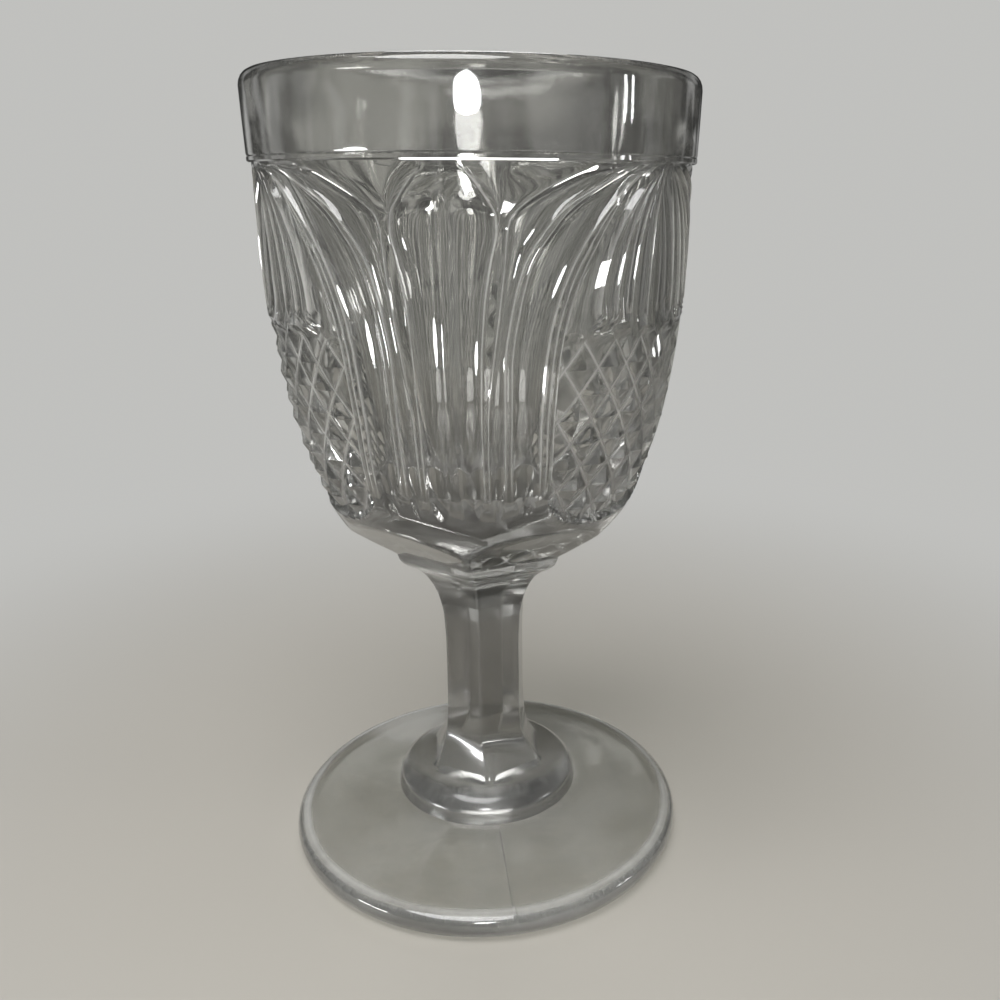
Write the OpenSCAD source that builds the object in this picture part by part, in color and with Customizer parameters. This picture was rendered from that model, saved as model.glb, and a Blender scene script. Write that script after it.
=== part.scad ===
// Water goblet of clear pressed glass, on a six-sided stem and a round foot.
// All lengths are in millimetres. The origin is the centre of the foot's underside, with +Z up.
// The middle of one plain panel faces -Y, and the pattern repeats three times round the bowl.

/* [Bowl] */
// Outside diameter at the rim
rim_d = 83.8; // [70:0.2:100]
// Thickness of the wall at the plain band
wall_t = 3.7; // [2.5:0.1:5.5]
// Height of the plain band below the rim
band_h = 15; // [8:0.5:24]
// How much the band's radius grows from its lower edge to the rim
band_taper = 0.4; // [0:0.1:1.5]
// How far the band's lower edge stands out from the pattern
band_step = 0.8; // [0.3:0.1:1.6]
// Height of the patterned wall below the band
pattern_h = 64; // [54:0.5:76]
// Height of the six-sided underside of the bowl
underside_h = 11.5; // [8:0.5:16]
// How far below the bowl's underside the curve of the belly would close
belly_extra = 10.5; // [8:0.5:30]
// Thickness of the glass under the hollow
floor_t = 10.5; // [6:0.5:24]

/* [Pattern] */
// Depth of the long flutes
flute_depth = 1.0; // [0.4:0.1:1.5]
// Height of the diamond points
point_h = 1.1; // [0.4:0.1:1.6]
// How far the diamond points lie below the ribs
point_sink = 0.3; // [0:0.1:0.8]
// Depth of the feathers of the plume
feather_depth = 0.8; // [0.3:0.1:1.4]
// Depth of the hollows between the band and the arches
spandrel_depth = 0.7; // [0.2:0.1:1.4]
// Height by which the rib down the middle of a plain panel stays below the other ribs
mid_rib_drop = 0.25; // [0:0.05:0.8]

/* [Collar and stem] */
// Width across the corners of the collar, where it meets the bowl
collar_w = 38.4; // [32:0.2:46]
// Height of the collar, from the bowl to the straight part of the stem
collar_h = 15; // [10:0.5:20]
// Width across the corners of the stem at its waist
stem_w = 18.2; // [15:0.2:24]
// How much wider the stem is at its ends than at its waist
stem_swell = 0.7; // [0:0.1:2]
// Height of the straight part of the stem
stem_h = 27; // [15:0.5:45]

/* [Base of the stem] */
// Height of the six-sided flare, from the stem down to the dome
flare_h = 8.6; // [7:0.2:14]
// Width across the corners of the flare, where it meets the dome
flare_w = 26.6; // [24:0.2:32]
// Diameter of the round dome
dome_d = 40; // [37:0.2:48]
// Height of the round dome
dome_h = 6.6; // [5:0.2:11]

/* [Foot] */
// Diameter of the foot
foot_d = 86; // [70:0.2:100]
// Thickness of the foot at its middle
foot_t = 9.8; // [6.4:0.1:12]
// Thickness of the foot near its edge
foot_edge_t = 5.4; // [4:0.1:6]

/* [Hidden] */

half_turn = 180;
// Number of times that the pattern repeats, and the angle of half of one repeat
repeats = 3;
half_angle = half_turn / repeats;
// Corners of the collar, the stem and the flare
corners = 6;
round_fn = 96;

// Heights of the joints between the pieces
dome_z = foot_t;
flare_z = dome_z + dome_h;
stem_z = flare_z + flare_h;
collar_z = stem_z + stem_h;
bowl_z = collar_z + collar_h;
pattern_z = bowl_z + underside_h;
band_z = pattern_z + pattern_h;
rim_z = band_z + band_h;
// Depth below the band at which the belly would close, and depth of the hollow below the rim
belly_depth = pattern_h + underside_h + belly_extra;
cup_depth = rim_z - bowl_z - floor_t;

rim_r = rim_d / 2;
band_r = rim_r - band_taper;
belly_r = band_r - band_step;
collar_r = collar_w / 2;
stem_r = stem_w / 2;
stem_end_r = stem_r + stem_swell / 2;
flare_r = flare_w / 2;
dome_r = dome_d / 2;
foot_r = foot_d / 2;
mouth_r = rim_r - wall_t;
cup_r = band_r - wall_t;
lip_r = wall_t / 2;
// One overrun serves every cut
overrun = wall_t;

// Angles of the ribs as shares of half a repeat, from the middle of a plain panel,
// against the share of the pattern's height below the band
panel_rib_shares = [[0, 0.06], [0.04, 0.11], [0.09, 0.165], [0.125, 0.2], [0.16, 0.203],
    [0.23, 0.185], [0.35, 0.158], [0.5, 0.14], [0.65, 0.137], [1, 0.15]];
arch_rib_shares = [[0, 0.64], [0.02, 0.53], [0.045, 0.44], [0.07, 0.365], [0.1, 0.295], [0.13, 0.247],
    [0.165, 0.226], [0.23, 0.213], [0.35, 0.193], [0.5, 0.166], [0.65, 0.152], [1, 0.16]];
second_rib_shares = [[0, 0.83], [0.02, 0.74], [0.045, 0.65], [0.07, 0.57], [0.1, 0.49], [0.13, 0.435],
    [0.165, 0.39], [0.2, 0.35], [0.25, 0.31], [0.35, 0.27], [0.5, 0.24], [0.75, 0.245], [1, 0.27]];
third_rib_shares = [[0, 0.93], [0.02, 0.85], [0.045, 0.775], [0.07, 0.725], [0.1, 0.68], [0.13, 0.64],
    [0.165, 0.6], [0.2, 0.565], [0.25, 0.52], [0.33, 0.47], [0.42, 0.435], [0.5, 0.42], [0.65, 0.412],
    [0.8, 0.425], [1, 0.435]];

// How far the feathers have spread, against the share of the pattern's height
spread_shares = [[0, 0.06], [0.02, 0.18], [0.045, 0.34], [0.07, 0.46], [0.1, 0.58], [0.13, 0.68],
    [0.165, 0.77], [0.2, 0.85], [0.25, 0.92], [0.31, 0.98], [0.37, 1]];
// Angles of the feathers' ridges and hollows from the plume's middle, where they are fully spread
feather_shares = [0, 0.103, 0.155, 0.207, 0.25, 0.292, 0.375];
// Columns of the diamond points on each side of the plume's middle, and their step as a share
point_columns = 6;
point_step_share = 0.0889;
// Share of the pattern's height at which the diamond points begin, and their rows
points_top_share = 0.445;
point_rows = 8;
// Rows of the diamond points that reach to the sides of the panel, before its corners round off
full_point_rows = 6;
// Rows of points of the wall above the diamond points
upper_shares = [0, 0.02, 0.045, 0.07, 0.1, 0.13, 0.165, 0.2, 0.25, 0.31, 0.37];
// Rows of points of the underside, from the pattern down to the collar
underside_shares = [0.87, 0.72, 0.57, 0.4, 0.2, 0];
// Share of the underside's height against the radius of its corners, as a share of the way
// from the collar's radius to the belly's. The belly cuts the corners off where they pass it.
underside_curve_shares = [[0, 0], [0.3, 0.235], [0.61, 0.47], [1, 0.8], [1.5, 1.25]];
// Where the flutes begin and end, as shares of the pattern's height
flute_shares = [[0, 0], [0.02, 0.25], [0.1, 0.9], [0.16, 1], [0.78, 1], [0.88, 0.6], [0.96, 0]];
panel_flute_shares = [[0.05, 0], [0.09, 0.4], [0.16, 1], [0.78, 1], [0.88, 0.6], [0.96, 0]];
spandrel_shares = [[0, 0.6], [0.02, 1], [0.1, 1], [0.135, 0.5], [0.165, 0]];
feather_fade_shares = [[0, 0.2], [0.045, 0.6], [0.13, 1], [0.37, 1], [0.43, 0.3]];

// Outlines: each point is a share of the piece's height and a share of its spread
collar_shares = [[0, 0], [0.2, 0.07], [0.333, 0.14], [0.467, 0.235], [0.6, 0.37], [0.733, 0.59],
    [0.813, 0.82], [0.893, 0.94], [1, 1]];
flare_shares = [[1, 0], [0.75, 0.11], [0.45, 0.4], [0.2, 0.73], [0.05, 0.95], [0, 1]];
dome_side_shares = [[0, 1], [0.19, 0.99], [0.4, 0.975], [0.65, 0.91], [0.85, 0.815], [1, 0.655]];
foot_edge_shares = [[0, 0.947], [0.04, 0.967], [0.22, 0.991], [0.48, 1], [0.72, 0.993], [0.91, 0.967], [1, 0.922]];
// How far the foot's top has risen halfway from its edge to the dome
foot_middle_share = 0.42;

// Radius of the belly at a height, before the pattern is pressed into it
function belly(z) = belly_r * sqrt(1 - pow((band_z - z) / belly_depth, 3));

// Radius of a six-sided section at an angle, from the radius of its corners
function six_sided(angle, corner_r) =
    let (half = half_turn / corners, off = (angle % (2 * half)) - half)
    corner_r * cos(half) / cos(off);

// Corner radius of the underside at a height
function underside_corner(z) =
    let (share = lookup((z - bowl_z) / underside_h, underside_curve_shares))
    collar_r + (belly_r - collar_r) * share;

// Angle of a column of points, from the middle of a plain panel to the middle of a plume
function plume_angle(column, share) =
    let (spread = lookup(share, spread_shares) * feather_shares[column],
        lattice = column * point_step_share,
        mix = max(0, min(1, (share - upper_shares[len(upper_shares) - 1])
            / (points_top_share - upper_shares[len(upper_shares) - 1]))))
    half_angle * (1 - spread * (1 - mix) - lattice * mix);

// The columns of half a repeat: each is [angle, depth] at a share of the pattern's height
function half_repeat(share, row) =
    let (panel = half_angle * lookup(share, panel_rib_shares),
        arch = half_angle * lookup(share, arch_rib_shares),
        second = half_angle * lookup(share, second_rib_shares),
        third = half_angle * lookup(share, third_rib_shares),
        plume = plume_angle(point_columns, share),
        flute = flute_depth * lookup(share, flute_shares),
        panel_flute = flute_depth * lookup(share, panel_flute_shares),
        spandrel = spandrel_depth * lookup(share, spandrel_shares),
        gap = (arch - panel) / 4)
    concat(
        [[0, mid_rib_drop], [panel / 2, max(panel_flute, mid_rib_drop / 2)], [panel, 0]],
        [for (k = [1:3]) [panel + gap * k, spandrel]],
        [[arch, 0], [(arch + second) / 2, flute], [second, 0], [(second + third) / 2, flute]],
        [[third, 0], [(third + plume) / 2, flute]],
        [for (k = [point_columns:-1:0]) [plume_angle(k, share), plume_depth(k, share, row)]]);

// Depth of the plume above, and of the diamond points below
function plume_depth(column, share, row) =
    row < 0
        ? (is_hollow(column) ? feather_depth * lookup(share, feather_fade_shares) : 0)
        : point_sink * lookup(share, flute_shares) + (is_low(column, row) ? point_h : 0);

// Hollows of the feathers lie in every second column, from the plume's middle
function is_hollow(column) = column % 2 == 0 && column < point_columns;

// The grooves between the diamond points cross at every second column of every row
function is_crossing(column, row) = (column + row) % 2 == 1;

// A low crossing, inside the rounded bottom of the diamond points' panel
function is_low(column, row) =
    is_crossing(column, row) && row < point_rows && column + max(0, row - full_point_rows) * 2 <= point_columns;

// Every row of the wall, from the band down: [share of the pattern's height, row of points or -1]
wall_rows = concat(
    [for (share = upper_shares) [share, -1]],
    [for (m = [0:point_rows]) [points_top_share + (1 - points_top_share) * m / point_rows, m]]);

// The whole turn of one row: each column is [angle, depth, column of half a repeat]
function whole_turn(share, row) =
    let (half = half_repeat(share, row), last = len(half) - 1)
    [for (n = [0:repeats - 1], c = [0:2 * last - 1])
        let (k = c <= last ? c : 2 * last - c, angle = c <= last ? half[k][0] : 2 * half_angle - half[k][0])
        [2 * half_angle * n + angle, half[k][1], k]];

function place(angle, r, z) = [r * sin(angle), -r * cos(angle), z];

// Points of the wall, each the nearer of the pressed belly and the six-sided underside
wall_points = [for (item = wall_rows)
    let (z = band_z - pattern_h * item[0])
    for (column = whole_turn(item[0], item[1]))
        place(column[0], min(belly(z) - column[1], six_sided(column[0], underside_corner(z))), z)];

underside_points = [for (share = underside_shares)
    let (z = bowl_z + underside_h * share)
    for (column = whole_turn(1, point_rows))
        place(column[0], min(belly(z), six_sided(column[0], underside_corner(z))), z)];

turn_columns = len(whole_turn(0, -1));
body_rows = len(wall_rows) + len(underside_shares);
half_columns = len(half_repeat(0, -1)) - 1;

// Two triangles of one patch, split along the groove that crosses it
function patch(row, c) =
    let (next = (c + 1) % turn_columns,
        top_left = row * turn_columns + c,
        top_right = row * turn_columns + next,
        low_left = top_left + turn_columns,
        low_right = top_right + turn_columns,
        k = whole_turn(0, -1)[c][2],
        level = row < len(wall_rows) ? wall_rows[row][1] : -1)
    (level >= 0 && is_crossing(half_columns - k, level))
        ? [[top_left, top_right, low_right], [top_left, low_right, low_left]]
        : [[top_left, top_right, low_left], [top_right, low_right, low_left]];

// Body of the bowl below the band. Each end is a fan of triangles round a point on the axis.
module pressed_body() {
    last = (body_rows - 1) * turn_columns;
    top = body_rows * turn_columns;
    faces = concat(
        [for (c = [0:turn_columns - 1]) [(c + 1) % turn_columns, c, top]],
        [for (row = [0:body_rows - 2], c = [0:turn_columns - 1], triangle = patch(row, c)) triangle],
        [for (c = [0:turn_columns - 1]) [last + c, last + (c + 1) % turn_columns, top + 1]]);
    polyhedron(points = concat(wall_points, underside_points, [[0, 0, band_z], [0, 0, bowl_z]]), faces = faces);
}

// Plain band, with a fully rounded lip
module band() {
    steps = 10;
    rotate_extrude($fn = round_fn)
        polygon(concat(
            [[0, band_z], [band_r, band_z]],
            [for (k = [0:steps])
                let (turn = half_turn * k / steps)
                [rim_r - lip_r + lip_r * cos(turn), rim_z - lip_r + lip_r * sin(turn)]],
            [[mouth_r, band_z + band_h / 2], [0, band_z + band_h / 2]]));
}

// Radius of the hollow at a height below the band
function hollow(z) = cup_r * sqrt(max(0, 1 - pow((band_z - z) / (cup_depth - band_h), 3)));

module cup_hollow() {
    steps = 14;
    bottom_z = rim_z - cup_depth;
    rotate_extrude($fn = round_fn)
        polygon(concat(
            [[0, rim_z + overrun], [mouth_r, rim_z + overrun], [mouth_r, rim_z - lip_r]],
            [for (k = [0:steps])
                let (turn = half_turn / 2 * k / steps, z = bottom_z + (band_z - bottom_z) * cos(turn))
                [k == steps ? 0 : hollow(z), z]]));
}

module bowl() {
    color([0.8, 0.84, 0.84, 0.5])
        difference() {
            union() {
                pressed_body();
                band();
            }
            cup_hollow();
        }
}

// Stack of six-sided sections: each is [height, radius of the corners], from the bottom up
module six_sided_stack(sections) {
    count = len(sections);
    points = [for (section = sections, c = [0:corners - 1])
        place(c * 2 * half_turn / corners, section[1], section[0])];
    faces = concat(
        [[for (c = [0:corners - 1]) c]],
        [for (row = [0:count - 2], c = [0:corners - 1])
            let (next = (c + 1) % corners, low = row * corners, high = low + corners)
            [low + c, high + c, high + next, low + next]],
        [[for (c = [corners - 1:-1:0]) (count - 1) * corners + c]]);
    polyhedron(points = points, faces = faces);
}

module collar() {
    color([0.76, 0.8, 0.8, 0.5])
        six_sided_stack([for (item = collar_shares)
            [collar_z + collar_h * item[0], stem_end_r + (collar_r - stem_end_r) * item[1]]]);
}

module stem() {
    color([0.78, 0.82, 0.82, 0.5])
        six_sided_stack([[stem_z, stem_end_r], [stem_z + stem_h / 4, stem_r],
            [collar_z - stem_h / 4, stem_r], [collar_z, stem_end_r]]);
}

module stem_base() {
    seat_z = dome_z + dome_h / 2;
    color([0.76, 0.8, 0.8, 0.5])
        union() {
            six_sided_stack(concat(
                [[seat_z, flare_r]],
                [for (k = [len(flare_shares) - 1:-1:0])
                    [flare_z + flare_h * flare_shares[k][0],
                        stem_end_r + (flare_r - stem_end_r) * flare_shares[k][1]]]));
            rotate_extrude($fn = round_fn)
                polygon(concat(
                    [[0, dome_z]],
                    [for (item = dome_side_shares) [dome_r * item[1], dome_z + dome_h * item[0]]],
                    [[0, flare_z]]));
        }
}

// The foot's top sags a little between its edge and the dome
module foot() {
    middle_z = foot_edge_t + (foot_t - foot_edge_t) * foot_middle_share;
    color([0.8, 0.84, 0.84, 0.5])
        rotate_extrude($fn = round_fn)
            polygon(concat(
                [[0, 0]],
                [for (item = foot_edge_shares) [foot_r * item[1], foot_edge_t * item[0]]],
                [[(foot_r + dome_r) / 2, middle_z], [dome_r, foot_t], [0, foot_t]]));
}

bowl();
collar();
stem();
stem_base();
foot();
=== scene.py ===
"""Looks of a water goblet in clear pressed glass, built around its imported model.

Lengths are in millimetres until a mesh is made, angles are in degrees from the middle of one plain
panel, which faces -Y, and the pattern repeats three times round the bowl.
"""
import math
from types import SimpleNamespace
import bpy
import numpy as np
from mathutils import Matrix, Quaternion, Vector


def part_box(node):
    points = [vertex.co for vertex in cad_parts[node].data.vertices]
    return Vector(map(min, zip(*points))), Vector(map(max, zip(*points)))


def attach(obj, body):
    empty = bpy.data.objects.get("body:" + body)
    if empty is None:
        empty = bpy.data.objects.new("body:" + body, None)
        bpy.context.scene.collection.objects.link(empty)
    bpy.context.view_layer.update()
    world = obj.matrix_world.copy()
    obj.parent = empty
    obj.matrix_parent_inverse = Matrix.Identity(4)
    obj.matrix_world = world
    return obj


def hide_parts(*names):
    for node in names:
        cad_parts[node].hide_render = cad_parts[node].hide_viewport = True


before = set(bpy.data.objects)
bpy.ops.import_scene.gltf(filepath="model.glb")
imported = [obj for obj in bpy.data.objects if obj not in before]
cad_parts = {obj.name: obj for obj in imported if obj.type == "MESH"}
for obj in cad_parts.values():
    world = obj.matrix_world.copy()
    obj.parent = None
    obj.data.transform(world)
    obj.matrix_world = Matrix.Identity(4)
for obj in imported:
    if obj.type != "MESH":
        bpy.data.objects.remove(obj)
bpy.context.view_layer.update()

MM = 0.001
BODY = "root"


def node_span(node):
    """Lowest and highest height of a CAD node, in millimetres."""
    low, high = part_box(node)
    return low.z / MM, high.z / MM


# Heights of the joints between the pieces, and of the bowl's band, underside, wall and hollow
FOOT_TOP = node_span("foot")[1]
STEM_Z, COLLAR_Z = node_span("stem")
BOWL_Z, RIM_Z = node_span("bowl")
BAND_H = 15.0
UNDERSIDE_H = 11.5
FLOOR_T = 10.5
BAND_Z = RIM_Z - BAND_H
PATTERN_Z = BOWL_Z + UNDERSIDE_H
PATTERN_H = BAND_Z - PATTERN_Z
CUP_DEPTH = RIM_Z - BOWL_Z - FLOOR_T - BAND_H
LIP_H = 2.5
# The wall's own curve would close this far below the underside
BELLY_PAST = 10.5
BELLY_DEPTH = BAND_Z - BOWL_Z + BELLY_PAST

# Radii
RIM_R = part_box("bowl")[1].x / MM
WALL_T = 3.7
RIM_FLARE = 0.4
BAND_STEP = 0.8
BAND_R = RIM_R - RIM_FLARE
BELLY_R = BAND_R - BAND_STEP
MOUTH_R = RIM_R - WALL_T
CUP_R = BAND_R - WALL_T
# The cup's floor closes round a point this wide
CUP_MIDDLE_R = 0.4
COLLAR_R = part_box("collar")[1].y / MM
STEM_END_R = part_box("stem")[1].y / MM
STEM_WAIST = 0.35
STEM_R = STEM_END_R - STEM_WAIST
DOME_R = 20.0
DOME_H = 6.6
FLARE_H = STEM_Z - FOOT_TOP - DOME_H
# Corners of the flare's foot, of the dome where it closes on them, and the flare's turn
FLARE_R, DOME_CLOSED_R, FLARE_TURN = 13.3, 13.4, 10.0
FOOT_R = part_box("foot")[1].x / MM
FOOT_EDGE_T = 5.4
# Share of the foot's radius where its rounded edge meets its top
FOOT_TOP_SHARE = 0.922
FOOT_COLUMNS = 240
# The foot's mould seam, and the pale ring painted along its shoulder as a highlight
SEAM_ANGLE, SEAM_H, SEAM_W = 14.2, 0.22, 0.3
SHOULDER_LIGHT_R, SHOULDER_LIGHT_W = 40.9, 0.8

REPEATS = 3
HALF = 180.0 / REPEATS
CORNERS = 6
CORNER_STEP = 360.0 / CORNERS
SIX_SIDED_COLUMNS = 192
# Edges sharper than this many degrees aren't smoothed
SHARP = 24

# The bowl's pattern: heights are shares of the pattern's height below the band, and angles are
# shares of half a repeat, from the middle of a plain panel to the middle of a plume
PANEL_RIB = [(0, 0.06), (0.04, 0.11), (0.09, 0.165), (0.125, 0.194), (0.16, 0.196), (0.23, 0.175),
             (0.35, 0.147), (0.5, 0.133), (0.65, 0.130), (1, 0.15)]
ARCH_RIB = [(0, 0.64), (0.02, 0.53), (0.045, 0.44), (0.07, 0.365), (0.1, 0.295), (0.13, 0.25),
            (0.165, 0.236), (0.23, 0.228), (0.35, 0.207), (0.5, 0.178), (0.65, 0.158), (1, 0.165)]
SECOND_RIB = [(0, 0.83), (0.02, 0.74), (0.045, 0.65), (0.07, 0.57), (0.1, 0.49), (0.13, 0.435),
              (0.165, 0.39), (0.2, 0.35), (0.25, 0.31), (0.35, 0.27), (0.5, 0.24), (0.75, 0.245),
              (1, 0.27)]
THIRD_RIB = [(0, 0.93), (0.02, 0.85), (0.045, 0.775), (0.07, 0.725), (0.1, 0.68), (0.13, 0.64),
             (0.165, 0.6), (0.2, 0.565), (0.25, 0.52), (0.33, 0.47), (0.42, 0.435), (0.5, 0.42),
             (0.65, 0.412), (0.8, 0.425), (1, 0.435)]
SPREAD = [(0, 0.06), (0.02, 0.18), (0.045, 0.34), (0.07, 0.46), (0.1, 0.58), (0.13, 0.68),
          (0.165, 0.77), (0.2, 0.85), (0.25, 0.92), (0.31, 0.98), (0.37, 1), (1, 1)]
# Half widths of the narrow ribs, in degrees
MID_RIB_HALF, SECOND_HALF, THIRD_HALF = 0.75, 0.7, 1.5
# The plume's columns, as angles from its middle. They run on into the diamond points. Some are the
# ridges between feathers, and each feather has a rounded end from a height of its own
FEATHERS = np.array([0, 6.2, 9.3, 12.4, 15.0, 17.5, 22.5])
RIDGES = [0, 1, 3, 5, 6]
FEATHER_ENDS = (114.5, 114.0, 117.0, 116.0)
FEATHER_DEEP = 1.1
FAN_DEEP, FAN_END = 1.15, 119.0
ROUND_END = 6.0
# Diamond points: each rises from a groove's edge to its tip, in shares of the way to its middle
POINT_COLUMNS = 6
POINT_PITCH = 3.52
POINT_ROW_H = 4.5
POINTS_Z = 114.0
POINT_ROWS = 8
POINT_H, POINT_SINK, GROOVE, TIP = 1.2, 0.4, 0.11, 0.95
# The rounded bottom of their panel: where it starts, how far it falls, half its width in degrees
POINTS_LOW_Z, POINTS_FALL, POINTS_HALF, POINTS_ROUND = 92.0, 13.5, 36.0, 2.6
# Columns of the mesh in each stretch of half a repeat, and how far they crowd towards its ends
COUNTS = {"mid": 3, "panel_flute": 11, "spandrel": 12, "first_flute": 10, "second": 5,
          "second_flute": 9, "third": 8, "edge": 4}
FLUTE_CROWD, SPANDREL_CROWD = 0.5, 0.4
POINT_STEPS = 8
# Rows of the mesh below the pattern and above the lattice, and of faces inside the cup
LOW_ROWS, UPPER_ROWS, CUP_ROWS = 15, 36, 13
# Depths of the flutes, and of the hollows, sunk tops and grooves beside them
FLUTE_DEEP, FLUTE_SLOPE = 1.35, 0.28
SPANDREL_DEEP = 0.8
PANEL_DROP, CAP_DEEP, ARCH_GROOVE = 0.3, 0.3, 0.3
SECOND_GROOVE, THIRD_GROOVE = 0.2, 0.24
# Millimetres of the wall in one degree
DEGREE = BELLY_R * math.pi / 180

GLASS_TINT = (1.0, 0.995, 0.955)
SHADOW_TINT = (0.56, 0.57, 0.56, 1)
# Colour, haze, softness, depths of ripples and of grain in metres, gloss, and colour where thick.
# The colours are painted shade: grey for the dark shadow seen through the clear glass, and darker
# where thick, at the bottom of the bowl.
GLASSES = {
    "bowl": (0.7, 0.05, 0.05, 0.00004, 0.000003, 0.04, 0.12),
    "cup": (0.78, 0.02, 0.05, 0.00004, 0.0, 0.03, 0.14),
    "stem": (0.26, 0.02, 0.12, 0.00007, 0.000003, 0.22),
    "stem_base": (0.36, 0.05, 0.14, 0.00008, 0.000003, 0.26),
    "foot": (0.66, 0.05, 0.17, 0.00012, 0.000003, 0.06),
}
# Heights in metres over which the painted shade at the bowl's bottom fades, as its glass thins
DARKEST_Z, SHADE_END_Z = 0.072, 0.094
FLOOR_COLOUR = (0.62, 0.592, 0.535)
BACKDROP_COLOUR = (0.53, 0.53, 0.515)
# Half the floor's side, its height, and where it fades into the backdrop, in metres
FLOOR_HALF, FLOOR_Z = 6.0, -0.0003
FADE_START, FADE_END = 0.03, 0.30
# Where in the noise the room's lights and darks are taken from
ROOM_PLACE = (11.4, 2.6, 4.1)
# Grey levels of the room that the glass shows, by the sine of their elevation
ROOM_SHADES = [(0.0, BACKDROP_COLOUR[0]), (0.16, BACKDROP_COLOUR[0]), (0.32, 0.2), (0.62, 0.12),
               (0.85, 0.5), (1.0, 0.7)]
# Name, azimuth like the camera's, elevation, distance and size in metres, and power
LAMPS = [
    ("front_lamp", 4.7, 18.7, 0.21, (0.04, 0.05), 0.11),
    ("top_lamp", -20.0, 70.0, 0.9, (0.7, 0.5), 4.6),
    ("right_lamp", 80.5, 10.0, 0.55, (0.016, 0.16), 0.10),
    ("right_lamp_beside", 85.0, 10.0, 0.55, (0.012, 0.16), 0.08),
    ("left_low_lamp", -52.0, -11.0, 0.34, (0.11, 0.04), 0.3),
    ("back_lamp", 187.0, 40.0, 0.9, (0.3, 0.2), 0.8),
]
LAMPS_AIM = (0, 0, 0.09)


def smooth(x, table):
    """A monotone curve through the points of a table."""
    xs, ys = np.array(table, float).T
    step = np.diff(xs)
    slope = np.diff(ys) / step
    both = slope[1:] * slope[:-1]
    total = slope[1:] + slope[:-1]
    inner = np.where(both > 0, 2 * both / np.where(total == 0, 1, total), 0)
    tangent = np.concatenate([slope[:1], inner, slope[-1:]])
    i = np.clip(np.searchsorted(xs, x) - 1, 0, len(step) - 1)
    f = np.clip((x - xs[i]) / step[i], 0, 1)
    rise = ys[i] * (2 * f**3 - 3 * f**2 + 1) + ys[i + 1] * (3 * f**2 - 2 * f**3)
    return rise + step[i] * (tangent[i] * (f**3 - 2 * f**2 + f) + tangent[i + 1] * (f**3 - f**2))


def ramp(x, low, high):
    """0 at low and 1 at high, with soft ends."""
    f = np.clip((x - low) / (high - low), 0, 1)
    return f * f * (3 - 2 * f)


def six_sided(angle, corner, softness=70.0):
    """Radius of a six-sided section with slightly rounded corners, one of which is at angle 0."""
    flats = np.arange(CORNERS) * CORNER_STEP + CORNER_STEP / 2
    facing = np.cos(np.radians(np.asarray(angle)[..., None] - flats))
    apothem = np.asarray(corner) * math.cos(math.pi / CORNERS)
    return apothem * np.sum(np.clip(facing, 0, 1) ** softness, -1) ** (-1 / softness)


def belly(z):
    """Radius of the bowl's wall before the pattern is pressed into it."""
    below = np.clip((BAND_Z - z) / BELLY_DEPTH, 0, 1)
    return BELLY_R * np.sqrt(1 - below**3)


def underside(angle, z):
    """Radius of the bowl's six-sided underside, which goes on growing above it."""
    shares = [(0, 0), (0.3, 0.235), (0.61, 0.47), (1, 0.8), (1.5, 1.25), (9, 8.5)]
    corner = COLLAR_R + (BELLY_R - COLLAR_R) * smooth((z - BOWL_Z) / UNDERSIDE_H, shares)
    return six_sided(angle, corner)


def place(angle, r, z):
    """Points in metres from angles, radii and heights."""
    a, r, z = np.broadcast_arrays(np.radians(angle), r, z)
    return np.stack([r * np.sin(a), -r * np.cos(a), z], -1) * MM


def ring_faces(rows, columns):
    """Faces between rings of points, and the triangles that close the low and the high end."""
    here = np.arange(columns)
    beside = (here + 1) % columns
    low = np.arange(rows - 1)[:, None] * columns
    high = low + columns
    sides = np.stack([low + here, low + beside, high + beside, high + here], -1).reshape(-1, 4)
    top, middle = (rows - 1) * columns, rows * columns
    low_fan = np.stack([beside, here, np.full(columns, middle)], -1)
    high_fan = np.stack([top + here, top + beside, np.full(columns, middle + 1)], -1)
    return sides, low_fan, high_fan


def split_deeper(points, faces):
    """Splits each face along its deeper diagonal, so that the pattern's grooves stay straight."""
    depth = np.hypot(points[faces, 0], points[faces, 1])
    across = (depth[:, 1] + depth[:, 3] < depth[:, 0] + depth[:, 2] - 1e-7)[:, None]
    first = np.where(across, faces[:, [0, 1, 3]], faces[:, [0, 1, 2]])
    second = np.where(across, faces[:, [1, 2, 3]], faces[:, [0, 2, 3]])
    return np.stack([first, second], 1).reshape(-1, 3)


def in_scene(name, data):
    """A new object in the scene."""
    thing = bpy.data.objects.new(name, data)
    bpy.context.scene.collection.objects.link(thing)
    return thing


def loft(name, rings, edge_light, joints, materials, inside=0):
    """A closed mesh through rings of points, from the bottom up.

    joints names the ends, low or high, that meet another piece, and take the second material. The
    last rows of faces, as many as inside says, and the end above them take the third. The third
    argument is 1 where a point takes a painted highlight, a paler line along an edge.
    """
    rows, columns = rings.shape[:2]
    ends = np.stack([rings[0].mean(0), rings[-1].mean(0)])
    points = np.concatenate([rings.reshape(-1, 3), ends])
    faces, low_fan, high_fan = ring_faces(rows, columns)
    if inside:
        faces = split_deeper(points, faces)
        inside *= 2
    walls = len(faces)
    slots = np.zeros(walls + 2 * columns, np.int32)
    if "low" in joints:
        slots[walls:walls + columns] = 1
    if "high" in joints:
        slots[walls + columns:] = 1
    if inside:
        slots[walls - inside * columns:walls] = 2
        slots[walls + columns:] = 2
    mesh = bpy.data.meshes.new(name)
    mesh.from_pydata(points.tolist(), [], faces.tolist() + low_fan.tolist() + high_fan.tolist())
    for material in materials:
        mesh.materials.append(material)
    mesh.polygons.foreach_set("material_index", slots)
    mesh.polygons.foreach_set("use_smooth", np.ones(len(slots), bool))
    mesh.update()
    mesh.set_sharp_from_angle(angle=math.radians(SHARP))
    # Per point, the painted highlight of the pale edges
    edges = mesh.attributes.new("edge_light", "FLOAT", "POINT")
    edges.data.foreach_set("value", np.concatenate([edge_light.reshape(-1), [0, 0]]).astype(np.float32))
    return in_scene(name, mesh)


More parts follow.
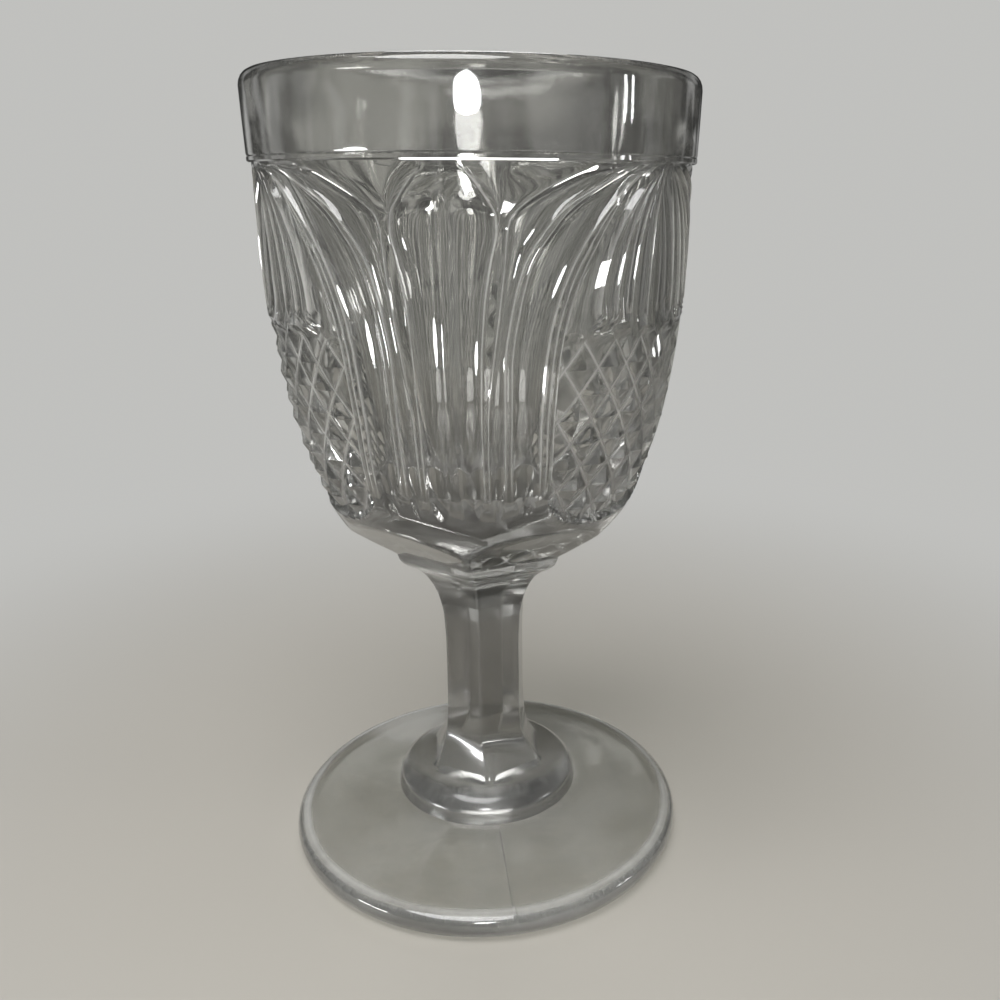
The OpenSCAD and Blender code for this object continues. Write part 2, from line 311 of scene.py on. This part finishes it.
def scoop(s, width, deep=FLUTE_DEEP, over=0.0):
    """Depth across a hollow flute: s runs from 0 to 1, and over grows to 1 into a rounded end."""
    reach = np.minimum(deep, FLUTE_SLOPE * np.abs(width) * DEGREE)
    return reach * np.clip((1 - (2 * s - 1) ** 2) ** 0.75 - over**2, 0, 1)


def between_edges(s, width, edge=0.45):
    """1 across a rib's sunk top, and 0 at the fine raised edges on its sides."""
    return ramp(np.minimum(s, 1 - s) * np.abs(width) * DEGREE, 0.08, edge)


def end_of(t, start, length):
    """Grows from 0 at start to 1 a length below it, or above it where length is negative."""
    return np.clip((t - start) / length, 0, 3)


def line_at(angle, places, width=0.2):
    """1 along lines at some angles, fading out within a fraction of a millimetre."""
    away = np.abs(angle[:, None] - np.asarray(places)).min(-1) * DEGREE
    return np.exp(-((away / width) ** 2))


def stretch(a, b, count, depth, crowd=0.0):
    """Columns from a up to b and the depth at each, crowded towards both ends by crowd."""
    s = np.arange(count) / count
    s = s * (1 - crowd) + (0.5 - 0.5 * np.cos(math.pi * s)) * crowd
    return a + (b - a) * s, depth(s) + np.zeros_like(s)


def pattern_lines(t, z):
    """Angles of the ribs' edges, the plume's columns and its ridges, at share t and height z."""
    panel, arch = HALF * smooth(t, PANEL_RIB), HALF * smooth(t, ARCH_RIB)
    second, third = HALF * smooth(t, SECOND_RIB), HALF * smooth(t, THIRD_RIB)
    second_half = SECOND_HALF * ramp(t, 0.0, 0.14) + 0.15
    third_half = THIRD_HALF * ramp(t, 0.0, 0.2) * (1 - 0.3 * ramp(t, 0.75, 1.0)) + 0.2
    spread = smooth(t, SPREAD)
    lattice = np.degrees(POINT_PITCH / belly(z)) * np.arange(POINT_COLUMNS + 1)
    mix = ramp(t, 0.37, 0.445)
    plume = FEATHERS * spread * (1 - mix) + lattice * mix
    # Low on the wall the plume's columns draw together, and stay clear of the third rib
    room = HALF - third - third_half - 0.3
    return SimpleNamespace(
        panel=panel, arch=arch, second_low=second - second_half, second_high=second + second_half,
        third_low=third - third_half, third=third, third_high=third + third_half,
        plume=plume * min(1.0, room / plume[-1]), ridges=FEATHERS[RIDGES] * spread)


def panel_columns(t, at):
    """The plain panel's sunk middle, and its flute with a capped top and a rounded bottom."""
    drop = PANEL_DROP * ramp(t, 0.07, 0.1) * (1 - ramp(t, 0.8, 0.9))
    cap = CAP_DEEP * ramp(t, 0.005, 0.02) * (1 - ramp(t, 0.09, 0.13))
    over = np.hypot(end_of(t, 0.125, -0.05), end_of(t, 0.74, 0.20))
    width = at.panel - MID_RIB_HALF

    def flute(s):
        hollow = np.maximum(scoop(s, width, over=over), drop * (1 - s) ** 2)
        return np.maximum(hollow, cap * ramp((1 - s) * width * DEGREE, 0.1, 0.5))

    return [stretch(0, MID_RIB_HALF, COUNTS["mid"], lambda s: drop * (0.8 + 0.2 * s**2)),
            stretch(MID_RIB_HALF, at.panel, COUNTS["panel_flute"], flute, FLUTE_CROWD)]


def arch_columns(t, at):
    """Hollow between the band, the panel and the arch, and below it the arch's own broad rib."""
    spandrel = SPANDREL_DEEP * (1 - ramp(t, 0.12, 0.165))
    groove = ARCH_GROOVE * ramp(t, 0.16, 0.2) * (1 - ramp(t, 0.66, 0.8))

    def depth(s):
        sides = np.clip(np.minimum(s, 1 - s) * 6, 0, 1) * (1 - 0.45 * np.abs(2 * s - 0.6))
        return spandrel * sides + groove * between_edges(s, at.arch - at.panel)

    return [stretch(at.panel, at.arch, COUNTS["spandrel"], depth, SPANDREL_CROWD)]


def rib_columns(t, at):
    """The two outer flutes, the grooved ribs beside them, and the way on to the plume."""
    start, over = ramp(t, 0.0, 0.03), end_of(t, 0.70, 0.23)
    groove = ramp(t, 0.1, 0.2) * (1 - ramp(t, 0.78, 0.86))

    def flute(a, b, count):
        return stretch(a, b, count, lambda s: start * scoop(s, b - a, over=over), FLUTE_CROWD)

    return [
        flute(at.arch, at.second_low, COUNTS["first_flute"]),
        stretch(at.second_low, at.second_high, COUNTS["second"],
                lambda s: SECOND_GROOVE * groove * np.sin(math.pi * s)),
        flute(at.second_high, at.third_low, COUNTS["second_flute"]),
        stretch(at.third_low, at.third_high, COUNTS["third"],
                lambda s: THIRD_GROOVE * groove * np.sin(2 * math.pi * s) ** 2),
        stretch(at.third_high, HALF - at.plume[-1], COUNTS["edge"], np.zeros_like),
    ]


def plume_columns(at):
    """Columns from the plume's edge to its middle, some of them on the lattice's corners."""
    off = np.concatenate([np.linspace(at.plume[k + 1], at.plume[k], POINT_STEPS, endpoint=False)
                          for k in range(POINT_COLUMNS - 1, -1, -1)] + [[0.0]])
    return [(HALF - off, 0 * off)]


def plume_depth(angle, z, at):
    """Depth of the feathers, and of the fan flute between them and the third rib."""
    off = HALF - angle
    depth = np.zeros_like(off)
    ridges = [-at.ridges[1], *at.ridges[1:]]
    for a, b, bottom in zip(ridges, ridges[1:], FEATHER_ENDS):
        s = (off - a) / (b - a)
        over = np.clip((bottom + ROUND_END - z) / ROUND_END, 0, 3)
        hollow = scoop(np.clip(s, 0, 1), b - a, FEATHER_DEEP, over)
        depth += np.where((s >= 0) & (s <= 1), hollow, 0)
    width = HALF - at.ridges[-1] - at.third_high
    s = (angle - at.third_high) / max(width, 0.05)
    fan = scoop(np.clip(s, 0, 1), width, FAN_DEEP, np.clip((FAN_END - z) / ROUND_END, 0, 3))
    return depth + np.where((s > 0) & (s < 1), fan, 0)


def diamond_points(off, z):
    """Depth and painted groove highlights of the diamond points' panel, by angle from the plume's
    middle.
    """
    k = np.radians(np.abs(off)) * belly(z) / POINT_PITCH
    m = (POINTS_Z - z) / POINT_ROW_H
    p, q = k + m, k - m
    to_groove = np.minimum(np.abs(p % 2 - 1), np.abs(q % 2 - 1))
    centre_p, centre_q = 2 * np.round(p / 2), 2 * np.round(q / 2)
    centre_k, centre_m = (centre_p + centre_q) / 2, (centre_p - centre_q) / 2
    whole = (np.abs(centre_k) <= POINT_COLUMNS - 1) & (centre_m >= 0) & (centre_m <= POINT_ROWS)
    rise = np.clip((to_groove - GROOVE) / (TIP - GROOVE), 0, 1)
    depth = POINT_SINK + POINT_H * (1 - np.where(whole, rise, 0))
    edge_light = np.clip(1 - to_groove / 0.2, 0, 1) * (centre_m >= 0)
    # The panel is closed by a rounded bottom
    low = np.clip((POINTS_LOW_Z - z) / POINTS_FALL, 0, None)
    inside = 1 - ((np.abs(off) / POINTS_HALF) ** POINTS_ROUND + low**POINTS_ROUND)
    return depth * ramp(inside, 0.0, 0.13), edge_light * ramp(inside, 0.0, 0.1)


def half_repeat(t, z):
    """Angles, depths and painted highlights of the columns of half a repeat, at share t and height
    z.
    """
    at = pattern_lines(t, z)
    columns = panel_columns(t, at) + arch_columns(t, at) + rib_columns(t, at) + plume_columns(at)
    angle, depth = (np.concatenate(values) for values in zip(*columns))
    # The plume above, and the diamond points below, follow the angle itself
    points, grooves = diamond_points(HALF - angle, z)
    with_points = ramp(t, 0.415, 0.45) * (angle > at.third_high)
    depth = depth + ramp(t, 0.0, 0.03) * plume_depth(angle, z, at) + with_points * points
    # Painted highlights run along the ribs' whole length, and the feathers' ridges above the
    # diamond points
    ribs = [at.panel, at.arch, at.second_low, at.second_high, at.third_low, at.third, at.third_high]
    rib_light = line_at(angle, ribs) * ramp(t, 0.01, 0.05) * (1 - ramp(t, 0.8, 0.92))
    ridge_light = line_at(HALF - angle, at.ridges[1:])
    ridge_light = ridge_light * ramp(t, 0.05, 0.15) * (1 - ramp(t, 0.38, 0.46))
    return angle, depth, np.maximum(np.maximum(rib_light, ridge_light), grooves * with_points)


def wall_heights():
    """Rows of the bowl's outside: even ones up to the lattice's top, and others on to the band."""
    rows = int((POINTS_Z - PATTERN_Z) / POINT_ROW_H * POINT_STEPS)
    low = np.linspace(BOWL_Z, PATTERN_Z, LOW_ROWS)
    lattice = POINTS_Z - POINT_ROW_H / POINT_STEPS * np.arange(rows, -1, -1)
    upper = BAND_Z - (BAND_Z - POINTS_Z) * np.linspace(1, 0, UPPER_ROWS + 1)[1:] ** 1.25
    return np.concatenate([low, lattice, upper])


def all_round(values):
    """Values of half a repeat, mirrored and repeated all the way round."""
    return np.tile(np.concatenate([values, values[::-1][1:-1]]), REPEATS)


def wall_ring(z):
    """Angles, radii and painted edge highlights of one row of the bowl's outside."""
    angle, depth, edge_light = half_repeat(min(1.0, (BAND_Z - z) / PATTERN_H), max(z, PATTERN_Z))
    one = np.concatenate([angle, (2 * HALF - angle[::-1])[1:-1]])
    whole = np.concatenate([one + 2 * HALF * n for n in range(REPEATS)])
    patterned = z >= PATTERN_Z
    # The smaller of the wall's and the underside's radius, with a slightly soft edge between them
    wall, flat, power = belly(z) - all_round(depth) * patterned, underside(whole, z), 160.0
    return whole, (wall**-power + flat**-power) ** (-1 / power), all_round(edge_light) * patterned


def band_and_cup():
    """Radii and heights up the band, over the lip, down the mouth and in to the cup's middle."""
    lip, middle = WALL_T / 2, BAND_Z + BAND_H / 2
    outline = [(BAND_R - 0.35, BAND_Z + 0.02), (BAND_R, BAND_Z + 0.3),
               (BAND_R + 0.02, BAND_Z + 0.9), (BAND_R - 0.1, BAND_Z + 1.15),
               (BAND_R + 0.03, BAND_Z + 1.45), (RIM_R - 0.15, middle)]
    outline += [(RIM_R - lip + lip * math.cos(a), RIM_Z - LIP_H + LIP_H * math.sin(a))
                for a in np.linspace(0, math.pi, 11)]
    outline.append((MOUTH_R - 0.15, middle))
    for turn in np.linspace(0, math.pi / 2, CUP_ROWS + 1)[:-1]:
        share = 1 - math.cos(turn)
        outline.append((CUP_R * math.sqrt(1 - share**3), BAND_Z - CUP_DEPTH * share))
    return outline + [(CUP_MIDDLE_R, BAND_Z - CUP_DEPTH)]


def bowl_rings():
    """Rings and painted edge highlights of the bowl: underside, patterned wall, band, lip and
    hollow.
    """
    rings, edges = [], []
    for z in wall_heights():
        angle, r, edge_light = wall_ring(z)
        rings.append(place(angle, r, z))
        edges.append(edge_light)
    outline = band_and_cup()
    rings += [place(angle, r, z) for r, z in outline]
    edges += [0 * angle] * len(outline)
    return np.stack(rings), np.stack(edges)


def corner_light(angle, r, turn=0.0):
    """Painted highlight along the corners of a six-sided section."""
    to_corner = (angle - turn + CORNER_STEP / 2) % CORNER_STEP - CORNER_STEP / 2
    away = np.abs(to_corner) * np.asarray(r) * math.pi / 180
    return 0.7 * np.exp(-((away / 0.25) ** 2))


def six_sided_rings(heights, corners):
    """Rings and painted highlights of a six-sided piece, from heights and the radii of its corners.
    """
    angle = np.arange(SIX_SIDED_COLUMNS) * 360.0 / SIX_SIDED_COLUMNS
    rings = [place(angle, six_sided(angle, corner), z) for z, corner in zip(heights, corners)]
    return np.stack(rings), np.stack([corner_light(angle, corner) for corner in corners])


def collar_rings():
    """The neck, which widens from the stem to the bowl's underside."""
    outline = [(0, 0), (0.2, 0.07), (0.333, 0.14), (0.467, 0.235), (0.6, 0.37), (0.733, 0.59),
               (0.813, 0.82), (0.893, 0.94), (1, 1)]
    shares = np.linspace(0, 1, 31)
    radii = STEM_END_R + (COLLAR_R - STEM_END_R) * smooth(shares, outline)
    return six_sided_rings(COLLAR_Z + (BOWL_Z - COLLAR_Z) * shares, radii)


def stem_rings():
    """The stem, a little slimmer in its middle than at its ends."""
    outline = [(0, STEM_END_R), (0.25, STEM_R), (0.75, STEM_R), (1, STEM_END_R)]
    shares = np.linspace(0, 1, 21)
    return six_sided_rings(STEM_Z + (COLLAR_Z - STEM_Z) * shares, smooth(shares, outline))


def stem_base_rings():
    """The six-sided flare, turned a little against the stem at its foot, on a round dome."""
    angle = np.arange(SIX_SIDED_COLUMNS) * 360.0 / SIX_SIDED_COLUMNS
    flare = [(0, FLARE_R), (0.05, 13.1), (0.2, 12.26), (0.45, 11.0), (0.75, 9.87), (1, STEM_END_R)]
    dome = [(0, 1), (0.19, 0.99), (0.4, 0.975), (0.65, 0.91), (0.85, 0.815), (1, 0.67)]
    rings, edges = [], []
    closed = six_sided(angle - FLARE_TURN, DOME_CLOSED_R)
    for share in np.linspace(0, 1, 21):
        r = np.maximum(DOME_R * smooth(share, dome), closed)
        rings.append(place(angle, r, FOOT_TOP + DOME_H * share - 0.3 * share**6))
        edges.append(0 * angle)
    for share in np.linspace(0, 1, 22)[1:]:
        turn = FLARE_TURN * (1 - ramp(share, 0.0, 1.0))
        corner, z = smooth(share, flare), FOOT_TOP + DOME_H + FLARE_H * share
        rings.append(place(angle, six_sided(angle - turn, corner), z))
        edges.append(corner_light(angle, corner, turn))
    return np.stack(rings), np.stack(edges)


def foot_outline():
    """Radii and heights of the foot, from under its middle round its edge to the dome."""
    edge = [(0, 0.947), (0.04, 0.967), (0.22, 0.991), (0.48, 1), (0.72, 0.993), (0.91, 0.967),
            (1, FOOT_TOP_SHARE)]
    top = [(DOME_R, FOOT_TOP), (31.5, 7.25), (FOOT_R * FOOT_TOP_SHARE, FOOT_EDGE_T)]
    shares = np.linspace(0, 1, 25)
    radii = np.linspace(FOOT_R * FOOT_TOP_SHARE, DOME_R, 14)[1:]
    outline = [(0.5, 0.0), (20.0, 0.0), (38.0, 0.0)]
    outline += list(zip(FOOT_R * smooth(shares, edge), FOOT_EDGE_T * shares))
    return outline + list(zip(radii, smooth(radii, top)))


def foot_rings():
    """A round foot with a thick rounded edge, and a fine mould seam across its top."""
    even = np.arange(FOOT_COLUMNS) * 360.0 / FOOT_COLUMNS
    angle = np.sort(np.concatenate([even, SEAM_ANGLE + np.linspace(-1, 1, 13)]))
    rings, edges = [], []
    for r, z in foot_outline():
        seam = np.exp(-((angle - SEAM_ANGLE) * math.pi / 180 * r / SEAM_W) ** 2)
        seam = seam * (z > 3 and r > DOME_R + 1)
        # A pale ring painted along the shoulder as a highlight, and a faint pale line along the
        # seam
        shoulder_light = 1.5 * math.exp(-(((r - SHOULDER_LIGHT_R) / SHOULDER_LIGHT_W) ** 2)) * (z > 3)
        rings.append(place(angle, r, z + SEAM_H * seam))
        edges.append(np.maximum(shoulder_light, 0.12 * seam))
    return np.stack(rings), np.stack(edges)


def new_material(name):
    """A new material with its node tree."""
    material = bpy.data.materials.new(name)
    material.use_nodes = True
    return material, material.node_tree


def maths(tree, operation, a, b):
    """A sum, product or the like of two links or numbers."""
    node = tree.nodes.new("ShaderNodeMath")
    node.operation = operation
    for value, socket in zip((a, b), node.inputs):
        if isinstance(value, float):
            socket.default_value = value
        else:
            tree.links.new(value, socket)
    return node.outputs["Value"]


def map_range(tree, value, start, end, kind="LINEAR"):
    """Maps a value from the range in start to the range in end."""
    node = tree.nodes.new("ShaderNodeMapRange")
    node.interpolation_type = kind
    for key, number in zip(("From Min", "From Max", "To Min", "To Max"), (*start, *end)):
        node.inputs[key].default_value = number
    tree.links.new(value, node.inputs["Value"])
    return node.outputs["Result"]


def mix_shaders(tree, share, first, second):
    """The first shader where share is 0, and the second where it is 1."""
    mix = tree.nodes.new("ShaderNodeMixShader")
    for key, value in (("Fac", share), (1, first), (2, second)):
        tree.links.new(value, mix.inputs[key])
    return mix.outputs["Shader"]


def noise(tree, place_of, scale, detail, roughness=0.5):
    """Noise in the object's own space, with scale in waves to the metre."""
    node = tree.nodes.new("ShaderNodeTexNoise")
    node.inputs["Scale"].default_value = scale
    node.inputs["Detail"].default_value = detail
    node.inputs["Roughness"].default_value = roughness
    tree.links.new(place_of.outputs["Object"], node.inputs["Vector"])
    return node.outputs["Fac"]


def spread_out(tree, value, low, high):
    """Maps a noise, which keeps near its middle, to a range from low to high."""
    return map_range(tree, value, (0.35, 0.68), (low, high))


def uneven(tree, height, distance, under=None):
    """A bump as deep as distance, in metres, on top of another bump."""
    node = tree.nodes.new("ShaderNodeBump")
    node.inputs["Strength"].default_value = 1.0
    node.inputs["Distance"].default_value = distance
    tree.links.new(height, node.inputs["Height"])
    if under:
        tree.links.new(under, node.inputs["Normal"])
    return node.outputs["Normal"]


def shade_by_height(tree, place_of, low, high):
    """Painted shade: the bowl's glass is darkest below the cup, where it is also thickest."""
    parts = tree.nodes.new("ShaderNodeSeparateXYZ")
    tree.links.new(place_of.outputs["Object"], parts.inputs["Vector"])
    level = map_range(tree, parts.outputs["Z"], (DARKEST_Z, SHADE_END_Z), (low, high))
    tinted = tree.nodes.new("ShaderNodeVectorMath")
    tinted.operation = "SCALE"
    tinted.inputs[0].default_value = GLASS_TINT
    tree.links.new(level, tinted.inputs["Scale"])
    return tinted.outputs["Vector"]


def glass(name, colour, haze, soft, wave, grain, gloss, thick=None):
    """Pressed glass with some years on it: haze, softness and grain under a sharp gloss."""
    material, tree = new_material(name)
    tree.nodes.clear()
    links = tree.links
    out = tree.nodes.new("ShaderNodeOutputMaterial")
    shader = tree.nodes.new("ShaderNodeBsdfPrincipled")
    clear = tree.nodes.new("ShaderNodeBsdfTransparent")
    path = tree.nodes.new("ShaderNodeLightPath")
    place_of = tree.nodes.new("ShaderNodeTexCoord")
    # The grey colour is painted shade, for the dark shadow seen through the clear glass
    shader.inputs["Base Color"].default_value = [colour * part for part in GLASS_TINT] + [1]
    # Darker towards the bottom of the bowl: painted shade
    if thick:
        links.new(shade_by_height(tree, place_of, thick, colour), shader.inputs["Base Color"])
    shader.inputs["IOR"].default_value = 1.52
    shader.inputs["Coat Weight"].default_value = 1.0
    shader.inputs["Coat Roughness"].default_value = gloss
    cloud = noise(tree, place_of, 60.0, 5.0, 0.6)
    links.new(spread_out(tree, cloud, soft * 0.6, soft * 1.5), shader.inputs["Roughness"])
    # Light haze in clouds, fine grain in it, and paler edges, which are painted highlights
    specks = noise(tree, place_of, 1500.0, 3.0, 0.6)
    edges = tree.nodes.new("ShaderNodeAttribute")
    edges.attribute_name = "edge_light"
    pale = maths(tree, "MULTIPLY", edges.outputs["Fac"], spread_out(tree, cloud, 0.32, 0.6))
    hazy = maths(tree, "ADD", spread_out(tree, specks, 0.0, haze), pale)
    body = spread_out(tree, cloud, 1 - haze * 0.4, 1 - haze * 1.2)
    links.new(maths(tree, "SUBTRACT", body, hazy), shader.inputs["Transmission Weight"])
    ripple = uneven(tree, noise(tree, place_of, 110.0, 2.0), wave)
    fine = uneven(tree, specks, grain, ripple)
    links.new(fine, shader.inputs["Normal"])
    links.new(fine, shader.inputs["Coat Normal"])
    # A lamp's light goes straight through, and leaves a soft grey shadow
    clear.inputs["Color"].default_value = SHADOW_TINT
    mix = mix_shaders(tree, path.outputs["Is Shadow Ray"], shader.outputs["BSDF"],
                      clear.outputs["BSDF"])
    links.new(mix, out.inputs["Surface"])
    return material


def joint():
    """Where two pieces were joined hot there is no surface, so light goes straight through."""
    material, tree = new_material("joint")
    tree.nodes.clear()
    out = tree.nodes.new("ShaderNodeOutputMaterial")
    clear = tree.nodes.new("ShaderNodeBsdfTransparent")
    tree.links.new(clear.outputs["BSDF"], out.inputs["Surface"])
    return material


def make_goblet():
    """The five pieces. Each rides on the body and stands for the node of its name."""
    none = joint()
    kinds = {kind: glass("pressed_" + kind, *values) for kind, values in GLASSES.items()}
    parts = [
        ("bowl", bowl_rings(), ("low",), [kinds["bowl"], none, kinds["cup"]], "bowl_glass"),
        ("collar", collar_rings(), ("low", "high"), [kinds["stem"], none], "stem_glass"),
        ("stem", stem_rings(), ("low", "high"), [kinds["stem"], none], "stem_glass"),
        ("stem_base", stem_base_rings(), ("low", "high"), [kinds["stem_base"], none], "stem_glass"),
        ("foot", foot_rings(), ("high",), [kinds["foot"], none], "foot_glass"),
    ]
    for node, (rings, edge_light), joints, materials, slot in parts:
        inside = CUP_ROWS if node == "bowl" else 0
        piece = loft("clear_" + node, rings, edge_light, joints, materials, inside)
        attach(piece, BODY)
        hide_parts(node)


def make_camera():
    """The camera stands 7.5 degrees round from the panel's middle, and looks down on the bowl."""
    data = bpy.data.cameras.new("camera")
    camera = in_scene("camera", data)
    focal_px, frame_px, axis_px = 973.5, 1000.0, -52.67
    data.sensor_width = 36.0
    data.lens = data.sensor_width * focal_px / frame_px
    data.shift_x = axis_px / frame_px
    data.clip_start, data.clip_end = 0.005, 20.0
    azimuth, yaw, pitch, roll = math.radians(7.5), 0.0761, 0.3154, 0.0038
    distance, height = 195.25 * MM, 139.36 * MM
    camera.location = (distance * math.sin(azimuth), -distance * math.cos(azimuth), height)
    heading = azimuth - yaw
    level = math.cos(pitch)
    ahead = Vector((-math.sin(heading) * level, math.cos(heading) * level, -math.sin(pitch)))
    camera.rotation_mode = "QUATERNION"
    camera.rotation_quaternion = ahead.to_track_quat("-Z", "Y") @ Quaternion((0, 0, 1), roll)
    bpy.context.scene.camera = camera


def seen_ray(tree):
    """1 for camera rays, and for rays that show the backdrop in or through the glass."""
    path = tree.nodes.new("ShaderNodeLightPath").outputs
    through = maths(tree, "MAXIMUM", path["Is Glossy Ray"], path["Is Transmission Ray"])
    return maths(tree, "MAXIMUM", path["Is Camera Ray"], through)


def backdrop_level(tree, direction):
    """Plain to the camera. The glass shows the backdrop with a room's soft lights and darks."""
    plain = tree.nodes.new("ShaderNodeLightPath").outputs["Is Camera Ray"]
    flat = tree.nodes.new("ShaderNodeMapping")
    flat.inputs["Scale"].default_value = (1.0, 1.0, 0.8)
    flat.inputs["Location"].default_value = ROOM_PLACE
    tree.links.new(direction, flat.inputs["Vector"])
    cloud = tree.nodes.new("ShaderNodeTexNoise")
    cloud.inputs["Scale"].default_value = 4.0
    cloud.inputs["Detail"].default_value = 1.0
    tree.links.new(flat.outputs["Vector"], cloud.inputs["Vector"])
    level = map_range(tree, cloud.outputs["Fac"], (0.46, 0.66), (0.05, 1.0), "SMOOTHSTEP")
    room = maths(tree, "MULTIPLY", level, maths(tree, "SUBTRACT", 1.0, plain))
    return maths(tree, "ADD", room, plain)


def vector_part(tree, operation, vector, output):
    """The length or the direction of a vector."""
    node = tree.nodes.new("ShaderNodeVectorMath")
    node.operation = operation
    tree.links.new(vector, node.inputs[0])
    return node.outputs[output]


def make_floor():
    """A plain pale floor, which runs into the backdrop's colour without a horizon."""
    mesh = bpy.data.meshes.new("floor")
    r, z = FLOOR_HALF, FLOOR_Z
    mesh.from_pydata([(-r, -r, z), (r, -r, z), (r, r, z), (-r, r, z)], [], [(0, 1, 2, 3)])
    floor = in_scene("floor", mesh)
    material, tree = new_material("floor")
    shader = tree.nodes["Principled BSDF"]
    shader.inputs["Base Color"].default_value = (*FLOOR_COLOUR, 1)
    shader.inputs["Roughness"].default_value = 0.9
    shader.inputs["Specular IOR Level"].default_value = 0.1
    place_of = tree.nodes.new("ShaderNodeTexCoord").outputs["Object"]
    away = vector_part(tree, "LENGTH", place_of, "Value")
    fade = map_range(tree, away, (FADE_START, FADE_END), (0.0, 1.0), "SMOOTHERSTEP")
    direction = vector_part(tree, "NORMALIZE", place_of, "Vector")
    backdrop = tree.nodes.new("ShaderNodeEmission")
    backdrop.inputs["Color"].default_value = (*BACKDROP_COLOUR, 1)
    tree.links.new(backdrop_level(tree, direction), backdrop.inputs["Strength"])
    seen = maths(tree, "MULTIPLY", fade, seen_ray(tree))
    mix = mix_shaders(tree, seen, shader.outputs["BSDF"], backdrop.outputs["Emission"])
    tree.links.new(mix, tree.nodes["Material Output"].inputs["Surface"])
    mesh.materials.append(material)


def make_world():
    """Pale to the camera and at the horizon. Above, the room that the glass shows is darker."""
    world = bpy.data.worlds.new("world")
    bpy.context.scene.world = world
    world.use_nodes = True
    tree = world.node_tree
    tree.nodes.clear()
    out = tree.nodes.new("ShaderNodeOutputWorld")
    path = tree.nodes.new("ShaderNodeLightPath")
    direction = tree.nodes.new("ShaderNodeTexCoord").outputs["Generated"]
    split = tree.nodes.new("ShaderNodeSeparateXYZ")
    tree.links.new(direction, split.inputs["Vector"])
    shade = tree.nodes.new("ShaderNodeValToRGB")
    tree.links.new(split.outputs["Z"], shade.inputs["Fac"])
    elements = shade.color_ramp.elements
    while len(elements) < len(ROOM_SHADES):
        elements.new(0.5)
    for element, (at, value) in zip(elements, ROOM_SHADES):
        element.position = at
        element.color = (value, value, value * 0.98, 1)
    room = tree.nodes.new("ShaderNodeBackground")
    tree.links.new(shade.outputs["Color"], room.inputs["Color"])
    tree.links.new(backdrop_level(tree, direction), room.inputs["Strength"])
    plain = tree.nodes.new("ShaderNodeBackground")
    plain.inputs["Color"].default_value = (*BACKDROP_COLOUR, 1)
    mix = mix_shaders(tree, path.outputs["Is Camera Ray"], room.outputs["Background"],
                      plain.outputs["Background"])
    tree.links.new(mix, out.inputs["Surface"])


def make_lamp(name, azimuth, elevation, distance, size, power):
    """A soft oval lamp at an azimuth like the camera's, aimed at the goblet."""
    data = bpy.data.lights.new(name, "AREA")
    data.shape = "ELLIPSE"
    data.size, data.size_y = size
    data.energy = power
    lamp = in_scene(name, data)
    a, e = math.radians(azimuth), math.radians(elevation)
    back = Vector((math.sin(a) * math.cos(e), -math.cos(a) * math.cos(e), math.sin(e)))
    lamp.location = Vector(LAMPS_AIM) + back * distance
    lamp.rotation_mode = "QUATERNION"
    lamp.rotation_quaternion = (-back).to_track_quat("-Z", "Y")
    lamp.visible_camera = False


make_camera()
make_goblet()
make_floor()
make_world()
for lamp in LAMPS:
    make_lamp(*lamp)
bpy.context.scene.view_settings.view_transform = "Standard"
bpy.context.view_layer.update()
